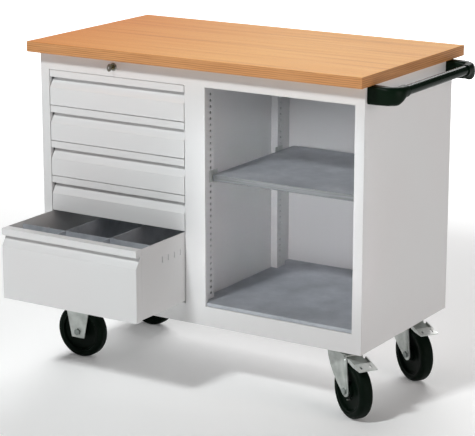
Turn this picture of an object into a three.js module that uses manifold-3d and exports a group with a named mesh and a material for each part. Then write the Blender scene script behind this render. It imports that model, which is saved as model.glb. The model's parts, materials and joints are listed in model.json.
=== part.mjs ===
// Mobile workbench: a sheet steel cabinet with a drawer stack and an open bay under a
// beech worktop, on two fixed and two swivel castors, with a push handle on its right side.
// Millimetres, +Z up. The bench faces -Y, and it stands on the plane z = 0.

import * as THREE from 'three';
import { mergeVertices } from 'three/addons/utils/BufferGeometryUtils.js';
import Module from 'manifold-3d';

const wasm = await Module();
wasm.setup();

// General
const sheet = 1.5;
const seatGap = 0.3;
const roundSides = 28;
const halfFacet = Math.PI / roundSides;
const smallRoundSides = 16;

// Worktop
const worktopThickness = 30;
const worktopSideOverhang = 14;
const worktopFrontOverhang = 45;
const worktopBackOverhang = 45;
const worktopEdgeChamfer = 1.2;

// Cabinet
const cabinetDepth = 510;
const outerStile = 29;
const middleStile = 66;
const bottomRail = 56;
const topRail = 53;
const frameReturn = 14;
const panelFold = 25;
const bayOpeningWidth = 464;

// Drawers, listed from the top by how many modules high each one is
const drawerOpeningWidth = 464;
const drawerModule = 103.5;
const drawerModules = [1, 1, 1, 1, 2];
const drawerSideGap = 2;
const drawerSplit = 2;
const frontDepth = 26;
const lipHeight = 19.5;
const grooveDepth = 22;
const grooveSlope = 32;
const skirtLift = 4.5;
const trayFloorLift = 11;
const trayBackRoom = 42;
const openDistance = 236;

// Runner racks
const ledgeThickness = 3;
const ledgeLift = 0.8;
const railInset = 4;
const railWidth = 10;
const railBackRoom = 12;
const railFrontRoom = 2;
const rackTopRoom = 40;

// Dividers in the open drawer
const dividerSheet = 1.2;
const dividerDrop = 8;
const crossDividerSetback = 94;

// Lock in the top rail
const lockFromLeft = 256;
const lockAboveOpening = 28;
const lockHousingRadius = 9;
const lockCollarRadius = 11;
const lockCollarThickness = 3;
const lockDepth = 24;
const lockPlugRadius = 6;
const lockPlugStandOff = 1.5;
const keyThickness = 2;
const keyBladeWidth = 7;
const keyBladeDepth = 14;
const keyNeck = 6;
const keyBowRadius = 11;
const keyBowHole = 3.5;

// Bay fittings
const postWidth = 46;
const postRecess = 10;
const frontPostSetback = 14;
const rearPostSetback = 58;
const postHoleFromInnerEdge = 16;
const bayFloorHeight = 10.7;
const bayFloorSheet = 1.2;
const bayFloorTongueSetback = 5;
const shelfSheet = 1.2;
const shelfLip = 18;
const shelfAboveRail = 368;
const shelfSetback = 50;
const shelfBackRoom = 20;
const shelfSideGap = 4;
const clipSheet = 2;
const clipHeight = 33;
const clipLength = 40;
const clipLead = 8;
const clipLedge = 14;

// Push handle
const handleSetback = 10;
const handleArmThickness = 32;
const handleReach = 75;
const handleBelowWorktop = 17;
const handleTubeRadius = 13.5;
const handleTubeWall = 2;
const handleSocketWall = 2.2;
const handleSocketDepth = 26;
const handleSocketLength = 36;
const handleElbowRadius = 44;
const handleInnerRadius = 10;
const handleRootDrop = 33;

// Castors
const wheelRadius = 80;
const wheelWidth = 40;
const tyreThickness = 18;
const tyreShoulder = 8;
const hubRadius = 20;
const coreWeb = 16;
const forkClearance = 35;
const axleRadius = 6;
const axleHeadRadius = 10;
const axleHeadThickness = 6;
const bearingGap = 0.4;
const legThickness = 3.5;
const legGap = 3;
const plateLength = 140;
const plateWidth = 110;
const plateThickness = 4;
const fixedPlateFromSide = 5;
const fixedForkTop = 100;
const fixedForkFoot = 45;
const fixedForkBelowAxle = 18;
const plateFromFront = 19;
const swivelPlateFromSide = 24;
const swivelTrail = 60;
const swivelHeading = -32;
const raceRadius = 32;
const raceHeight = 10;
const crownThickness = 6;
const crownReach = 43;
const kingpinRadius = 8;
const kingpinHeadRadius = 14;
const kingpinHeadThickness = 5;
const legBossRadius = 17;
const legBossLeave = 239;
const legBulgeReach = 36;
const legBulgeDrop = 56;

// Brake pedals on the swivel castors
const pedalWidth = 56;
const pedalLength = 88;
const pedalThickness = 3;
const pedalTilt = -15;
const pedalTreadLength = 36;
const pedalTreadRise = 6;
const pedalPivotBack = 6;
const pedalPivotDrop = 20;
const pedalPinRadius = 3.5;
const pedalPinReach = 3;
const pedalNeckLength = 14;
const pedalNeckGap = 1;
const pedalSlotWidth = 7;
const pedalSlotLength = 14;
const pedalSlotFromEnd = 10;
const earRadius = 9;

// Places worked out from the driving dimensions
const axleDrop = wheelRadius + forkClearance;
const castorHeight = axleDrop + wheelRadius;
const fixedCastorInset = fixedPlateFromSide + plateLength / 2;
const swivelCastorInset = swivelPlateFromSide + plateLength / 2;
const castorSetback = plateFromFront + plateWidth / 2;
const cabinetWidth = 2 * outerStile + drawerOpeningWidth + middleStile + bayOpeningWidth;
const moduleCount = drawerModules.reduce((sum, modules) => sum + modules, 0);
const openingHeight = moduleCount * drawerModule;
const cabinetBottom = castorHeight;
const openingBottom = cabinetBottom + bottomRail;
const openingTop = openingBottom + openingHeight;
const cabinetTop = openingTop + topRail;
const drawersLeft = outerStile;
const drawersRight = drawersLeft + drawerOpeningWidth;
const bayLeft = drawersRight + middleStile;
const bayRight = bayLeft + bayOpeningWidth;
const insideFront = sheet + seatGap;
const insideBack = cabinetDepth - sheet - seatGap;
const insideLeft = sheet + seatGap;
const insideRight = cabinetWidth - sheet - seatGap;
const partitionMiddle = drawersRight + middleStile / 2;
const partitionLeft = partitionMiddle - sheet / 2;
const partitionRight = partitionMiddle + sheet / 2;

const bench = new THREE.Group();

// Finishes, as colour, roughness and metalness
const finishes = {
  beech: [0xd9a878, 0.55, 0],
  paint: [0xdcdedd, 0.45, 0.1],
  zinc: [0x9da3a8, 0.42, 0.8],
  plate: [0xc4c8c6, 0.35, 0.85],
  rubber: [0x17191a, 0.7, 0],
  core: [0x232627, 0.6, 0],
  moulding: [0x14211b, 0.5, 0],
  tubePaint: [0x14211b, 0.35, 0.3],
  brass: [0x6b6038, 0.4, 0.8],
};

function place(name, geometry, finish, parent = bench) {
  const [color, roughness, metalness] = finishes[finish];
  const material = new THREE.MeshStandardMaterial({ color, roughness, metalness });
  const mesh = new THREE.Mesh(geometry, material);
  mesh.name = name;
  parent.add(mesh);
}

// A box between two planes on each axis
function block([x0, x1], [y0, y1], [z0, z1]) {
  const box = new THREE.BoxGeometry(x1 - x0, y1 - y0, z1 - z0);
  return box.translate((x0 + x1) / 2, (y0 + y1) / 2, (z0 + z1) / 2);
}

function outline(points) {
  return new THREE.Shape(points.map(([a, b]) => new THREE.Vector2(a, b)));
}

function rectangle([a0, a1], [b0, b1]) {
  return outline([[a0, b0], [a1, b0], [a1, b1], [a0, b1]]);
}

function extrude(shape, depth) {
  return new THREE.ExtrudeGeometry(shape, { depth, bevelEnabled: false, curveSegments: 5 });
}

// An outline in y and z, drawn out along x
function alongX(shape, [x0, x1]) {
  const turn = new THREE.Matrix4().makeBasis(
    new THREE.Vector3(0, 1, 0),
    new THREE.Vector3(0, 0, 1),
    new THREE.Vector3(1, 0, 0),
  );
  return extrude(shape, x1 - x0).applyMatrix4(turn).translate(x0, 0, 0);
}

// An outline in x and z, drawn out along y
function alongY(shape, [y0, y1]) {
  const turn = new THREE.Matrix4().makeBasis(
    new THREE.Vector3(1, 0, 0),
    new THREE.Vector3(0, 0, 1),
    new THREE.Vector3(0, -1, 0),
  );
  return extrude(shape, y1 - y0).applyMatrix4(turn).translate(0, y1, 0);
}

// An outline in x and y, drawn out along z
function alongZ(shape, [z0, z1]) {
  return extrude(shape, z1 - z0).translate(0, 0, z0);
}

// A round bar along y
function barY(radius, [x, z], [y0, y1], sides = roundSides) {
  const bar = new THREE.CylinderGeometry(radius, radius, y1 - y0, sides);
  return bar.translate(x, (y0 + y1) / 2, z);
}

// A round bar along z
function barZ(radius, [x, y], [z0, z1], sides = roundSides) {
  const bar = new THREE.CylinderGeometry(radius, radius, z1 - z0, sides);
  return bar.rotateX(Math.PI / 2).translate(x, y, (z0 + z1) / 2);
}

function toSolid(geometry) {
  const bare = geometry.clone();
  bare.deleteAttribute('normal');
  bare.deleteAttribute('uv');
  const merged = mergeVertices(bare, 1e-4);
  const mesh = new wasm.Mesh({
    numProp: 3,
    vertProperties: new Float32Array(merged.attributes.position.array),
    triVerts: new Uint32Array(merged.index.array),
  });
  return new wasm.Manifold(mesh);
}

function toGeometry(solid) {
  const mesh = solid.getMesh();
  const geometry = new THREE.BufferGeometry();
  geometry.setAttribute('position', new THREE.BufferAttribute(mesh.vertProperties, 3));
  geometry.setIndex(new THREE.BufferAttribute(mesh.triVerts, 1));
  geometry.computeVertexNormals();
  return geometry;
}

function join(...geometries) {
  const [first, ...rest] = geometries.map(toSolid);
  return toGeometry(rest.reduce((sum, solid) => sum.add(solid), first));
}

function common(...geometries) {
  const [first, ...rest] = geometries.map(toSolid);
  return toGeometry(rest.reduce((left, solid) => left.intersect(solid), first));
}

function cut(geometry, ...tools) {
  return toGeometry(tools.map(toSolid).reduce((left, tool) => left.subtract(tool), toSolid(geometry)));
}

// Worktop: a beech board with lightly broken edges, lying on the cabinet's top edges
function makeWorktop() {
  const bottom = cabinetTop + seatGap;
  const board = rectangle(
    [worktopEdgeChamfer - worktopSideOverhang, cabinetWidth + worktopSideOverhang - worktopEdgeChamfer],
    [worktopEdgeChamfer - worktopFrontOverhang, cabinetDepth + worktopBackOverhang - worktopEdgeChamfer],
  );
  const geometry = new THREE.ExtrudeGeometry(board, {
    depth: worktopThickness - 2 * worktopEdgeChamfer,
    bevelEnabled: true,
    bevelSize: worktopEdgeChamfer,
    bevelThickness: worktopEdgeChamfer,
    bevelSegments: 1,
  });
  place('worktop', geometry.translate(0, 0, bottom + worktopEdgeChamfer), 'beech');
}

// Front frame: one sheet with two openings, each edged by a folded return, and a hole for the lock
function makeFrontFrame(lockX, lockZ) {
  const openings = [[drawersLeft, drawersRight], [bayLeft, bayRight]];
  const edges = openings.map(([x0, x1]) => block(
    [x0 - sheet, x1 + sheet],
    [0, frameReturn],
    [openingBottom - sheet, openingTop + sheet],
  ));
  const gaps = openings.map((width) => block(width, [-sheet, 2 * frameReturn], [openingBottom, openingTop]));
  const face = block([0, cabinetWidth], [0, sheet], [cabinetBottom, cabinetTop]);
  const lockHole = barY(lockHousingRadius + seatGap, [lockX, lockZ], [-sheet, 2 * sheet], smallRoundSides);
  place('front_frame', cut(join(face, ...edges), ...gaps, lockHole), 'paint');
}

// Side, back and partition sheets, and the folded base and top sheets between them
function makePanels() {
  const heights = [cabinetBottom, cabinetTop];
  const depths = [insideFront, insideBack];
  place('left_side_panel', block([0, sheet], depths, heights), 'paint');
  place('right_side_panel', block([cabinetWidth - sheet, cabinetWidth], depths, heights), 'paint');
  place('back_panel', block([0, cabinetWidth], [cabinetDepth - sheet, cabinetDepth], heights), 'paint');

  const trough = (level, fold) => outline([
    [insideLeft, level],
    [insideRight, level],
    [insideRight, level + fold * panelFold],
    [insideRight - sheet, level + fold * panelFold],
    [insideRight - sheet, level + fold * sheet],
    [insideLeft + sheet, level + fold * sheet],
    [insideLeft + sheet, level + fold * panelFold],
    [insideLeft, level + fold * panelFold],
  ]);
  place('base_panel', alongY(trough(cabinetBottom, 1), depths), 'paint');
  place('top_panel', alongY(trough(cabinetTop, -1), depths), 'paint');

  const partitionHeights = [cabinetBottom + sheet + seatGap, cabinetTop - sheet - seatGap];
  place('partition_panel', block([partitionLeft, partitionRight], depths, partitionHeights), 'paint');
}

// Where each drawer starts, from the top one down, and how high its front is
function drawerLevels() {
  let level = openingTop;
  return drawerModules.map((modules) => {
    level -= modules * drawerModule;
    return { line: level, bottom: level + drawerSplit / 2, height: modules * drawerModule - drawerSplit };
  });
}

// Runner racks: a carrier plate screwed to the wall, with a ledge and a rail under each tray's floor
function makeRunnerRacks(levels) {
  const depths = [frontDepth + railFrontRoom, insideBack - railBackRoom];
  const trayLeft = drawersLeft + drawerSideGap + sheet;
  const trayRight = drawersRight - drawerSideGap - sheet;
  const lowest = levels[levels.length - 1].line + ledgeLift;
  const highest = levels[0].line + rackTopRoom;
  const ordered = (a, b) => [Math.min(a, b), Math.max(a, b)];
  const sides = [
    { name: 'left_runner_rack', wall: insideLeft, inward: 1, tray: trayLeft },
    { name: 'right_runner_rack', wall: partitionLeft - seatGap, inward: -1, tray: trayRight },
  ];
  for (const { name, wall, inward, tray } of sides) {
    const carrier = block(ordered(wall, wall + inward * sheet), depths, [lowest, highest]);
    const railStart = tray + inward * railInset;
    const railEnd = railStart + inward * railWidth;
    const ledges = levels.flatMap(({ line, bottom }) => {
      const ledgeTop = line + ledgeLift + ledgeThickness;
      const railTop = bottom + trayFloorLift - seatGap;
      return [
        block(ordered(wall, railEnd), depths, [line + ledgeLift, ledgeTop]),
        block(ordered(railStart, railEnd), depths, [line + ledgeLift, railTop]),
      ];
    });
    place(name, join(carrier, ...ledges), 'zinc');
  }
}

// Drawer front: a folded sheet with closed ends; below its lip runs a grip groove that slopes out again
function drawerFront(bottom, height) {
  const top = bottom + height;
  const lipBottom = top - lipHeight;
  const slopeLength = Math.hypot(grooveDepth, grooveSlope);
  const slopeWallRise = sheet * slopeLength / grooveDepth;
  const slopeRun = grooveDepth / grooveSlope;
  const foldBack = grooveDepth + (sheet + slopeWallRise) * slopeRun;
  const skin = outline([
    [0, bottom],
    [0, lipBottom - grooveSlope],
    [grooveDepth, lipBottom],
    [0, lipBottom],
    [0, top],
    [frontDepth, top],
    [frontDepth, bottom],
  ]);
  const hollow = outline([
    [sheet, bottom + sheet],
    [sheet, lipBottom - grooveSlope - slopeWallRise + sheet / slopeRun],
    [foldBack, lipBottom + sheet],
    [sheet, lipBottom + sheet],
    [sheet, top - sheet],
    [2 * frontDepth, top - sheet],
    [2 * frontDepth, bottom + sheet],
  ]);
  const left = drawersLeft + drawerSideGap;
  const right = drawersRight - drawerSideGap;
  return cut(alongX(skin, [left, right]), alongX(hollow, [left + sheet, right - sheet]));
}

// Tray: a sheet box open at the top, its floor raised to clear the rails between its side skirts
function drawerTray(bottom, height) {
  const left = drawersLeft + drawerSideGap;
  const right = drawersRight - drawerSideGap;
  const front = frontDepth + seatGap;
  const back = cabinetDepth - trayBackRoom;
  const top = bottom + height;
  const floor = bottom + trayFloorLift;
  const inner = [left + sheet, right - sheet];
  return cut(
    block([left, right], [front, back], [bottom + skirtLift, top]),
    block(inner, [front + sheet, back - sheet], [floor + sheet, top + sheet]),
    block(inner, [front - sheet, back + sheet], [bottom, floor]),
  );
}

// Dividers of the open drawer, slotted half and half where they cross
function makeDividers(name, { bottom, height }, drawer) {
  const left = drawersLeft + drawerSideGap + sheet + seatGap;
  const right = drawersRight - drawerSideGap - sheet - seatGap;
  const front = frontDepth + seatGap + sheet + seatGap;
  const back = cabinetDepth - trayBackRoom - sheet - seatGap;
  const low = bottom + trayFloorLift + sheet + seatGap;
  const high = bottom + height - dividerDrop;
  const middle = (low + high) / 2;
  const half = dividerSheet / 2;
  const slot = half + seatGap;
  const crossings = [1, 2].map((third) => left + third * (right - left) / 3);
  const across = [crossDividerSetback - half, crossDividerSetback + half];
  const acrossSlot = [crossDividerSetback - slot, crossDividerSetback + slot];
  const crossSlots = crossings.map((x) => block([x - slot, x + slot], acrossSlot, [middle, high + sheet]));
  place(`${name}_cross_divider`, cut(block([left, right], across, [low, high]), ...crossSlots), 'zinc', drawer);
  const lengthwise = ['left', 'right'];
  crossings.forEach((x, index) => {
    const board = block([x - half, x + half], [front, back], [low, high]);
    const notch = block([x - sheet, x + sheet], acrossSlot, [low - sheet, middle + seatGap]);
    place(`${name}_${lengthwise[index]}_divider`, cut(board, notch), 'zinc', drawer);
  });
}

function makeDrawers(levels) {
  levels.forEach((level, index) => {
    const name = `drawer_${index + 1}`;
    const isBottom = index === levels.length - 1;
    const drawer = new THREE.Group();
    drawer.position.y = isBottom ? -openDistance : 0;
    bench.add(drawer);
    place(`${name}_front`, drawerFront(level.bottom, level.height), 'paint', drawer);
    place(`${name}_tray`, drawerTray(level.bottom, level.height), 'paint', drawer);
    if (isBottom) {
      makeDividers(name, level, drawer);
    }
  });
}

// Central lock: a housing through the top rail, a plug that turns in it, and the key in the plug
function makeLock(x, z) {
  const collar = barY(lockCollarRadius, [x, z], [-lockCollarThickness - seatGap, -seatGap], smallRoundSides);
  const barrel = barY(lockHousingRadius, [x, z], [-sheet, lockDepth], smallRoundSides);
  const bore = barY(lockPlugRadius + seatGap, [x, z], [-lockDepth, 2 * lockDepth], smallRoundSides);
  place('lock_housing', cut(join(collar, barrel), bore), 'plate');

  const plugFace = -lockCollarThickness - lockPlugStandOff;
  const plug = barY(lockPlugRadius, [x, z], [plugFace, lockDepth], smallRoundSides);
  const halfKey = keyThickness / 2;
  const bladeEnd = plugFace + keyBladeDepth;
  const keyway = block(
    [x - halfKey - seatGap, x + halfKey + seatGap],
    [plugFace - sheet, bladeEnd + seatGap],
    [z - keyBladeWidth / 2 - seatGap, z + keyBladeWidth / 2 + seatGap],
  );
  place('lock_plug', cut(plug, keyway), 'brass');

  const blade = rectangle([plugFace - keyNeck, bladeEnd], [z - keyBladeWidth / 2, z + keyBladeWidth / 2]);
  const bow = new THREE.Shape();
  const bowY = plugFace - keyNeck - keyBowRadius + sheet;
  bow.absarc(bowY, z, keyBowRadius, 0, 2 * Math.PI);
  const ringHole = new THREE.Path();
  ringHole.absarc(bowY - keyBowHole, z, keyBowHole, 0, 2 * Math.PI);
  bow.holes.push(ringHole);
  const width = [x - halfKey, x + halfKey];
  place('lock_key', join(alongX(blade, width), alongX(bow, width)), 'plate');
}

// Perforated posts: channels on the bay's walls that take the shelf clips
function makePosts(places) {
  const heights = [openingBottom + bayFloorHeight + 2 * seatGap, cabinetTop - panelFold - seatGap];
  for (const { name, face, wall, front } of places) {
    const inward = Math.sign(face - wall);
    const back = front + postWidth;
    const channel = outline([
      [wall, front],
      [face, front],
      [face, back],
      [wall, back],
      [wall, back - sheet],
      [face - inward * sheet, back - sheet],
      [face - inward * sheet, front + sheet],
      [wall, front + sheet],
    ]);
    place(`bay_post_${name}`, alongZ(channel, heights), 'paint');
  }
}

// Bay floor: a sheet with its edges folded down, whose narrow tongue stands on the frame's return
function makeBayFloor() {
  const low = openingBottom + seatGap;
  const high = low + bayFloorHeight;
  const plan = (inset) => outline([
    [bayLeft + seatGap + inset, bayFloorTongueSetback + inset],
    [bayRight - seatGap - inset, bayFloorTongueSetback + inset],
    [bayRight - seatGap - inset, frameReturn + seatGap + inset],
    [insideRight - inset, frameReturn + seatGap + inset],
    [insideRight - inset, insideBack - inset],
    [partitionRight + seatGap + inset, insideBack - inset],
    [partitionRight + seatGap + inset, frameReturn + seatGap + inset],
    [bayLeft + seatGap + inset, frameReturn + seatGap + inset],
  ]);
  const board = alongZ(plan(0), [low, high]);
  const hollow = alongZ(plan(bayFloorSheet), [low - sheet, high - bayFloorSheet]);
  place('bay_floor', cut(board, hollow), 'zinc');
}

// Shelf: a sheet with its edges folded down, standing on four clips hooked into the posts
function makeShelf(places) {
  const top = openingBottom + shelfAboveRail;
  const low = top - shelfLip;
  const faces = places.map(({ face }) => face);
  const left = Math.min(...faces) + shelfSideGap;
  const right = Math.max(...faces) - shelfSideGap;
  const back = insideBack - shelfBackRoom;
  const board = block([left, right], [shelfSetback, back], [low, top]);
  const hollow = block(
    [left + shelfSheet, right - shelfSheet],
    [shelfSetback + shelfSheet, back - shelfSheet],
    [low - sheet, top - shelfSheet],
  );
  place('shelf', cut(board, hollow), 'zinc');

  const ledgeTop = low - seatGap;
  for (const { name, face, wall, front, isFront } of places) {
    const inward = Math.sign(face - wall);
    const ordered = (a, b) => [Math.min(a, b), Math.max(a, b)];
    const near = face + inward * seatGap;
    const hole = isFront ? front + postWidth - postHoleFromInnerEdge : front + postHoleFromInnerEdge;
    const start = isFront ? hole - clipLead : hole + clipLead - clipLength;
    const ledgeStart = Math.max(start, shelfSetback);
    const plate = block(
      ordered(near, near + inward * clipSheet),
      [start, start + clipLength],
      [ledgeTop - clipSheet, ledgeTop - clipSheet + clipHeight],
    );
    const ledge = block(
      ordered(near, near + inward * clipLedge),
      [ledgeStart, start + clipLength],
      [ledgeTop - clipSheet, ledgeTop],
    );
    place(`shelf_clip_${name}`, join(plate, ledge), 'plate');
  }
}

// Push handle: a tube held between two moulded brackets whose arms bend into its sockets
function makeHandle() {
  const axisX = cabinetWidth + handleReach;
  const axisZ = cabinetTop - handleBelowWorktop;
  const socketRadius = handleTubeRadius + seatGap + handleSocketWall;
  const near = cabinetWidth + seatGap;
  const outer = axisX + socketRadius;
  const inner = axisX - socketRadius;
  const armFront = handleSetback;
  const armBack = armFront + handleArmThickness;
  const socketEnd = armBack + handleSocketLength;
  const centre = cabinetDepth / 2;

  const arm = new THREE.Shape();
  arm.moveTo(near, armFront);
  arm.lineTo(outer - handleElbowRadius, armFront);
  arm.absarc(outer - handleElbowRadius, armFront + handleElbowRadius, handleElbowRadius, -Math.PI / 2, 0);
  arm.lineTo(outer, socketEnd);
  arm.lineTo(inner, socketEnd);
  arm.lineTo(inner, armBack + handleInnerRadius);
  arm.absarc(inner - handleInnerRadius, armBack + handleInnerRadius, handleInnerRadius, 0, -Math.PI / 2, true);
  arm.lineTo(near, armBack);
  const bulge = new THREE.Shape();
  bulge.moveTo(near, axisZ - handleRootDrop);
  bulge.lineTo(outer - handleRootDrop, axisZ - handleRootDrop);
  bulge.absarc(outer - handleRootDrop, axisZ, handleRootDrop, -Math.PI / 2, 0);
  bulge.lineTo(near, axisZ);
  const taper = outline([
    [armFront, axisZ - handleRootDrop],
    [armBack, axisZ - handleRootDrop],
    [socketEnd, axisZ - socketRadius],
    [socketEnd, axisZ],
    [armFront, axisZ],
  ]);
  const root = common(
    alongZ(arm, [axisZ - handleRootDrop, axisZ]),
    alongY(bulge, [armFront, socketEnd]),
    alongX(taper, [near, outer]),
  );
  const socket = barY(
    handleTubeRadius + seatGap,
    [axisX, axisZ],
    [socketEnd - handleSocketDepth, socketEnd + handleSocketDepth],
  );
  const front = cut(join(alongZ(arm, [axisZ - socketRadius, axisZ + socketRadius]), root), socket);
  place('handle_bracket_front', front, 'moulding');
  const mirror = new THREE.Matrix4().makeScale(1, -1, 1);
  const turned = front.clone().applyMatrix4(mirror).translate(0, 2 * centre, 0);
  const flipped = turned.index.array.map((_, i, all) => all[i - (i % 3) + (2 - (i % 3))]);
  turned.setIndex(new THREE.BufferAttribute(flipped, 1));
  turned.computeVertexNormals();
  place('handle_bracket_rear', turned, 'moulding');

  const tubeStart = socketEnd - handleSocketDepth + seatGap;
  const tubeSpan = [tubeStart, 2 * centre - tubeStart];
  const bore = [tubeSpan[0] - sheet, tubeSpan[1] + sheet];
  const tube = cut(
    barY(handleTubeRadius, [axisX, axisZ], tubeSpan),
    barY(handleTubeRadius - handleTubeWall, [axisX, axisZ], bore),
  );
  place('handle_tube', tube, 'tubePaint');
}

// Wheel of a castor, turning about y at the origin: a rubber tyre on a core with a bored hub, and its axle
function makeWheel(name, group) {
  const half = wheelWidth / 2;
  const rimRadius = wheelRadius - tyreThickness;
  const shoulderRadius = wheelRadius / Math.cos(halfFacet) - tyreShoulder;
  const tread = new THREE.Shape();
  tread.moveTo(rimRadius, -half);
  tread.lineTo(shoulderRadius, -half);
  tread.absarc(shoulderRadius, tyreShoulder - half, tyreShoulder, -Math.PI / 2, 0);
  tread.absarc(shoulderRadius, half - tyreShoulder, tyreShoulder, 0, Math.PI / 2);
  tread.lineTo(rimRadius, half);
  tread.closePath();
  place(`${name}_tyre`, spin(tread.getPoints(2)), 'rubber', group);

  const rim = rimRadius - seatGap;
  const rimInner = rim - legThickness;
  const bore = axleRadius + bearingGap;
  const web = coreWeb / 2;
  const core = [
    [bore, -half],
    [hubRadius, -half],
    [hubRadius, -web],
    [rimInner, -web],
    [rimInner, -half],
    [rim, -half],
    [rim, half],
    [rimInner, half],
    [rimInner, web],
    [hubRadius, web],
    [hubRadius, half],
    [bore, half],
    [bore, -half],
  ];
  place(`${name}_wheel_core`, spin(core.map(([r, y]) => new THREE.Vector2(r, y))), 'core', group);

  const legOutside = half + legGap + legThickness + seatGap;
  const axleEnd = legOutside + axleHeadThickness;
  const axle = join(
    barY(axleRadius, [0, 0], [-axleEnd, axleEnd], smallRoundSides),
    barY(axleHeadRadius, [0, 0], [-axleEnd, -legOutside], 6),
    barY(axleHeadRadius, [0, 0], [legOutside, axleEnd], 6),
  );
  place(`${name}_axle`, axle, 'plate', group);
}

// A closed profile of radius and height, turned about y with a flat facet at the bottom to stand on
function spin(profile) {
  return new THREE.LatheGeometry(profile, roundSides, halfFacet);
}

// The two legs of a fork, either side of the wheel, from an outline in x and z
function legs(shape) {
  const near = wheelWidth / 2 + legGap;
  return [
    alongY(shape, [near, near + legThickness]),
    alongY(shape, [-near - legThickness, -near]),
  ];
}

// Fixed castor: a pressed fork that is one piece with its top plate, rolling along x
function makeFixedCastor(name, x, y) {
  const castor = new THREE.Group();
  castor.position.set(x, y, wheelRadius);
  bench.add(castor);
  const plateTop = axleDrop - seatGap;
  const plateBottom = plateTop - plateThickness;
  const plate = block(
    [-plateLength / 2, plateLength / 2],
    [-plateWidth / 2, plateWidth / 2],
    [plateBottom, plateTop],
  );
  const leg = outline([
    [-fixedForkFoot / 2, -fixedForkBelowAxle],
    [fixedForkFoot / 2, -fixedForkBelowAxle],
    [fixedForkTop / 2, plateBottom + sheet],
    [-fixedForkTop / 2, plateBottom + sheet],
  ]);
  const reach = plateWidth;
  const axleHole = barY(axleRadius + seatGap, [0, 0], [-reach, reach], smallRoundSides);
  place(`${name}_fork`, cut(join(plate, ...legs(leg)), axleHole), 'plate', castor);
  makeWheel(name, castor);
}

// Swivel castor: a top plate with its bearing race and kingpin, and a fork that trails the kingpin
function makeSwivelCastor(name, x, y) {
  const plateTop = castorHeight - seatGap;
  const plateBottom = plateTop - plateThickness;
  const raceBottom = plateBottom - raceHeight;
  const crownTop = raceBottom - seatGap;
  const crownBottom = crownTop - crownThickness;
  const pinHeadTop = crownBottom - seatGap;
  const centre = [0, 0];
  const mounted = new THREE.Group();
  mounted.position.set(x, y, 0);
  bench.add(mounted);
  const plate = block(
    [-plateLength / 2, plateLength / 2],
    [-plateWidth / 2, plateWidth / 2],
    [plateBottom, plateTop],
  );
  const top = join(
    plate,
    barZ(raceRadius, centre, [raceBottom, plateBottom + sheet]),
    barZ(kingpinRadius, centre, [pinHeadTop - kingpinHeadThickness, plateBottom], smallRoundSides),
    barZ(kingpinHeadRadius, centre, [pinHeadTop - kingpinHeadThickness, pinHeadTop], smallRoundSides),
  );
  place(`${name}_plate`, top, 'plate', mounted);

  const swivel = new THREE.Group();
  swivel.position.set(x, y, 0);
  swivel.rotation.z = THREE.MathUtils.degToRad(swivelHeading);
  bench.add(swivel);
  const legSpan = wheelWidth / 2 + legGap + legThickness;
  const pivotX = swivelTrail - pedalPivotBack;
  const pivotZ = castorHeight - pedalPivotDrop;
  const bossLeave = THREE.MathUtils.degToRad(legBossLeave);
  const leg = new THREE.Shape();
  leg.moveTo(-crownReach, crownTop);
  leg.lineTo(-crownReach, crownBottom);
  leg.quadraticCurveTo(
    -legBulgeReach,
    crownBottom - legBulgeDrop,
    swivelTrail + legBossRadius * Math.cos(bossLeave),
    wheelRadius + legBossRadius * Math.sin(bossLeave),
  );
  leg.absarc(swivelTrail, wheelRadius, legBossRadius, bossLeave, 2 * Math.PI);
  leg.lineTo(pivotX + earRadius, pivotZ);
  leg.absarc(pivotX, pivotZ, earRadius, 0, Math.PI / 2);
  leg.lineTo(crownReach, crownTop);
  const crown = block([-crownReach, crownReach], [-legSpan, legSpan], [crownBottom, crownTop]);
  const fork = cut(
    join(crown, ...legs(leg)),
    barZ(kingpinRadius + bearingGap, centre, [crownBottom - sheet, crownTop + sheet], smallRoundSides),
    barY(axleRadius + seatGap, [swivelTrail, wheelRadius], [-plateWidth, plateWidth], smallRoundSides),
    barY(pedalPinRadius + bearingGap, [pivotX, pivotZ], [-plateWidth, plateWidth], smallRoundSides),
  );
  place(`${name}_fork`, fork, 'plate', swivel);

  const wheel = new THREE.Group();
  wheel.position.set(swivelTrail, 0, wheelRadius);
  swivel.add(wheel);
  makeWheel(name, wheel);
  makeBrakePedal(name, swivel, pivotX, pivotZ, legSpan);
}

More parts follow.
